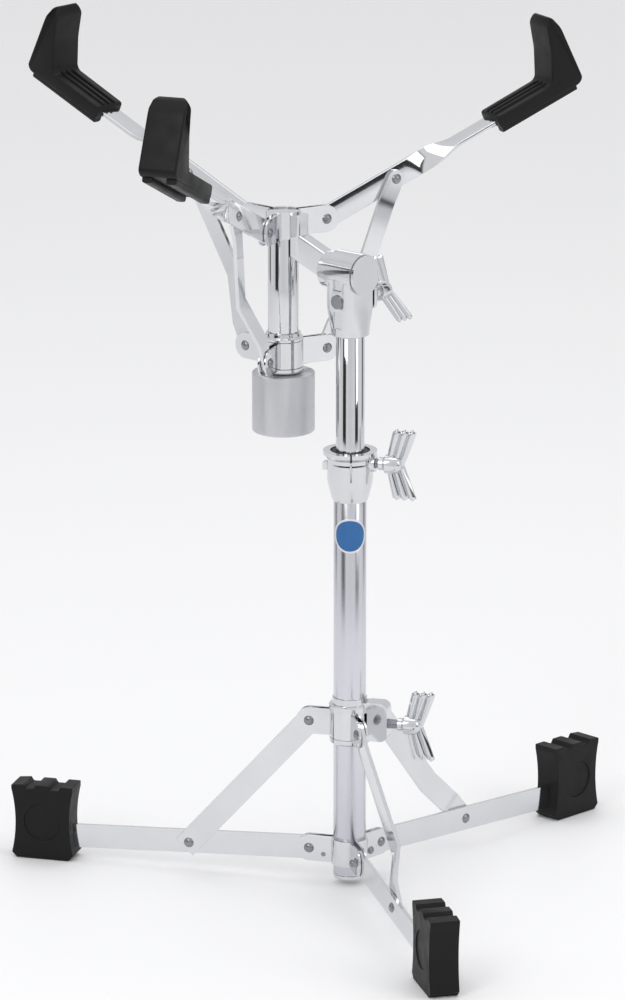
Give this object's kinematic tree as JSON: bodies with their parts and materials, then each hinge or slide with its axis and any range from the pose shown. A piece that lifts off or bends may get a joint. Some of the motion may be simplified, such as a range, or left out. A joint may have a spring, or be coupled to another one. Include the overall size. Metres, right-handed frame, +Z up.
{
  "type": "snare drum stand",
  "caption": "Folding snare drum stand: flat-base tripod, telescopic post, clamp tilter and a basket of booted arms on an offset knob-closed hub.",
  "frame": {"origin": "on the floor, under the axis of the main tube", "axes": "+Z up along the main tube; -Y towards the player's side, with the wing screws to +X"},
  "size_m": [0.472, 0.4956, 0.6644],
  "materials": {
    "chrome_plate": "polished plating on steel tube, flat bar and stampings",
    "cast_chrome": "plated zinc die castings with soft edges",
    "satin_chrome": "satin plated knurled knob",
    "bright_steel": "zinc plated rivets and screws",
    "foot_rubber": "matt moulded black rubber",
    "boot_rubber": "moulded black rubber with a slight sheen",
    "black_nylon": "moulded black nylon",
    "badge_enamel": "plain dark blue enamel"
  },
  "bodies": {
    "base": {"lower_tube": "chrome_plate", "tube_end_plug": "foot_rubber", "leg_bracket_straps": "chrome_plate", "leg_bracket_rivets": "bright_steel", "tube_clamp": "cast_chrome", "clamp_bushing": "black_nylon", "badge": "badge_enamel"},
    "clamp_screw": {"clamp_wing_screw": "cast_chrome"},
    "collar": {"collar_spool": "cast_chrome", "collar_straps": "chrome_plate", "collar_rivets": "bright_steel"},
    "collar_screw": {"collar_wing_screw": "cast_chrome"},
    "leg_1": {"leg_1": "chrome_plate", "foot_1": "foot_rubber", "leg_rivet_1": "bright_steel"},
    "brace_1": {"brace_1": "chrome_plate", "brace_rivet_1": "bright_steel"},
    "leg_2": {"leg_2": "chrome_plate", "foot_2": "foot_rubber", "leg_rivet_2": "bright_steel"},
    "brace_2": {"brace_2": "chrome_plate", "brace_rivet_2": "bright_steel"},
    "leg_3": {"leg_3": "chrome_plate", "foot_3": "foot_rubber", "leg_rivet_3": "bright_steel"},
    "brace_3": {"brace_3": "chrome_plate", "brace_rivet_3": "bright_steel"},
    "glide": {"tube_glide": "black_nylon"},
    "post": {"upper_tube": "chrome_plate", "tilter_head": "cast_chrome", "tilter_jaw": "cast_chrome", "clamp_bolt": "bright_steel"},
    "wing_nut": {"tilter_wing_nut": "cast_chrome"},
    "basket": {"barrel": "cast_chrome", "barrel_cap": "cast_chrome", "basket_bar": "chrome_plate", "basket_hub": "chrome_plate", "hub_rivets": "bright_steel", "basket_tube": "chrome_plate"},
    "arm_a": {"arm_a": "chrome_plate", "boot_a": "boot_rubber", "arm_rivet_a": "bright_steel"},
    "arm_b": {"arm_b": "chrome_plate", "boot_b": "boot_rubber", "arm_rivet_b": "bright_steel"},
    "arm_c": {"arm_c": "chrome_plate", "boot_c": "boot_rubber", "arm_rivet_c": "bright_steel"},
    "basket_collar": {"basket_collar": "cast_chrome", "basket_collar_straps": "chrome_plate", "basket_collar_rivets": "bright_steel"},
    "link_a": {"link_a": "chrome_plate", "link_rivet_a": "bright_steel"},
    "link_b": {"link_b": "chrome_plate", "link_rivet_b": "bright_steel"},
    "link_c": {"link_c": "chrome_plate", "link_rivet_c": "bright_steel"},
    "knob": {"basket_knob": "satin_chrome"}
  },
  "joints": [
    {"name": "leg_1_fold", "type": "hinge", "parent": "base", "child": "leg_1", "pos_m": [0.00833, -0.0311, 0.0264], "axis": [-0.9659, -0.2588, 0], "range_deg": [0, 62.5]},
    {"name": "leg_2_fold", "type": "hinge", "parent": "base", "child": "leg_2", "pos_m": [0.02277, 0.02277, 0.0264], "axis": [0.7071, -0.7071, 0], "range_deg": [0, 62.5]},
    {"name": "leg_3_fold", "type": "hinge", "parent": "base", "child": "leg_3", "pos_m": [-0.0311, 0.00833, 0.0264], "axis": [0.2588, 0.9659, 0], "range_deg": [0, 62.5]},
    {"name": "collar_slide", "type": "slide", "parent": "base", "child": "collar", "axis": [0, 0, 1], "range_m": [0, 0.11846]},
    {"name": "brace_1_hinge", "type": "hinge", "parent": "collar", "child": "brace_1", "pos_m": [0.00833, -0.0311, 0.1313], "axis": [0.9659, 0.2588, 0], "range_deg": [0, 22.55]},
    {"name": "brace_2_hinge", "type": "hinge", "parent": "collar", "child": "brace_2", "pos_m": [0.02277, 0.02277, 0.1313], "axis": [-0.7071, 0.7071, 0], "range_deg": [0, 22.55]},
    {"name": "brace_3_hinge", "type": "hinge", "parent": "collar", "child": "brace_3", "pos_m": [-0.0311, 0.00833, 0.1313], "axis": [-0.2588, -0.9659, 0], "range_deg": [0, 22.55]},
    {"name": "collar_screw_turn", "type": "hinge", "parent": "collar", "child": "collar_screw", "pos_m": [0.0483, -0.01294, 0.133], "axis": [0.9659, -0.2588, 0], "continuous": true},
    {"name": "clamp_screw_turn", "type": "hinge", "parent": "base", "child": "clamp_screw", "pos_m": [0.03864, -0.01035, 0.3425], "axis": [0.9659, -0.2588, 0], "continuous": true},
    {"name": "height_slide", "type": "slide", "parent": "base", "child": "glide", "axis": [0, 0, 1], "range_m": [-0.088, 0.085]},
    {"name": "post_swivel", "type": "hinge", "parent": "glide", "child": "post", "pos_m": [0, 0, 0.4], "axis": [0, 0, 1], "range_deg": [-72, 140]},
    {"name": "tilt", "type": "hinge", "parent": "post", "child": "basket", "pos_m": [0, 0, 0.492], "axis": [0.7547, -0.6561, 0], "range_deg": [-40, 40]},
    {"name": "tilter_wing_nut_turn", "type": "hinge", "parent": "post", "child": "wing_nut", "pos_m": [0.02952, 0.03396, 0.4717], "axis": [0.6561, 0.7547, 0], "continuous": true},
    {"name": "basket_collar_slide", "type": "slide", "parent": "basket", "child": "basket_collar", "axis": [0, 0, 1], "range_m": [0, 0.02541]},
    {"name": "knob_turn", "type": "hinge", "parent": "basket_collar", "child": "knob", "pos_m": [-0.05192, 0.04514, 0.38], "axis": [0, 0, 1], "range_deg": [0, 3049.51]},
    {"name": "arm_a_swing", "type": "hinge", "parent": "basket", "child": "arm_a", "pos_m": [-0.07947, 0.06908, 0.521], "axis": [0.6561, 0.7547, 0], "range_deg": [0, 52.01]},
    {"name": "arm_b_swing", "type": "hinge", "parent": "basket", "child": "arm_b", "pos_m": [-0.06459, 0.0109, 0.521], "axis": [-0.9379, 0.3469, 0], "range_deg": [0, 52.01]},
    {"name": "arm_c_swing", "type": "hinge", "parent": "basket", "child": "arm_c", "pos_m": [-0.01979, 0.06244, 0.521], "axis": [0.4741, -0.8805, 0], "range_deg": [0, 52.01]},
    {"name": "link_a_hinge", "type": "hinge", "parent": "basket_collar", "child": "link_a", "pos_m": [-0.07977, 0.06935, 0.4182], "axis": [0.6561, 0.7547, 0], "range_deg": [0, 18.34]},
    {"name": "link_b_hinge", "type": "hinge", "parent": "basket_collar", "child": "link_b", "pos_m": [-0.06473, 0.01053, 0.4182], "axis": [-0.9379, 0.3469, 0], "range_deg": [0, 18.34]},
    {"name": "link_c_hinge", "type": "hinge", "parent": "basket_collar", "child": "link_c", "pos_m": [-0.01943, 0.06263, 0.4182], "axis": [0.4741, -0.8805, 0], "range_deg": [0, 18.34]}
  ],
  "couplings": [
    {"joint": "leg_2_fold", "follows": "leg_1_fold", "ratio": 1},
    {"joint": "leg_3_fold", "follows": "leg_1_fold", "ratio": 1},
    {"joint": "collar_slide", "follows": "leg_1_fold", "m_per_rad": 0.1086},
    {"joint": "brace_1_hinge", "follows": "leg_1_fold", "ratio": 0.36075},
    {"joint": "brace_2_hinge", "follows": "leg_1_fold", "ratio": 0.36075},
    {"joint": "brace_3_hinge", "follows": "leg_1_fold", "ratio": 0.36075},
    {"joint": "basket_collar_slide", "follows": "knob_turn", "m_per_rad": 0.00047746},
    {"joint": "arm_a_swing", "follows": "knob_turn", "ratio": 0.017052},
    {"joint": "arm_b_swing", "follows": "knob_turn", "ratio": 0.017052},
    {"joint": "arm_c_swing", "follows": "knob_turn", "ratio": 0.017052},
    {"joint": "link_a_hinge", "follows": "knob_turn", "ratio": 0.0060137},
    {"joint": "link_b_hinge", "follows": "knob_turn", "ratio": 0.0060137},
    {"joint": "link_c_hinge", "follows": "knob_turn", "ratio": 0.0060137}
  ]
}
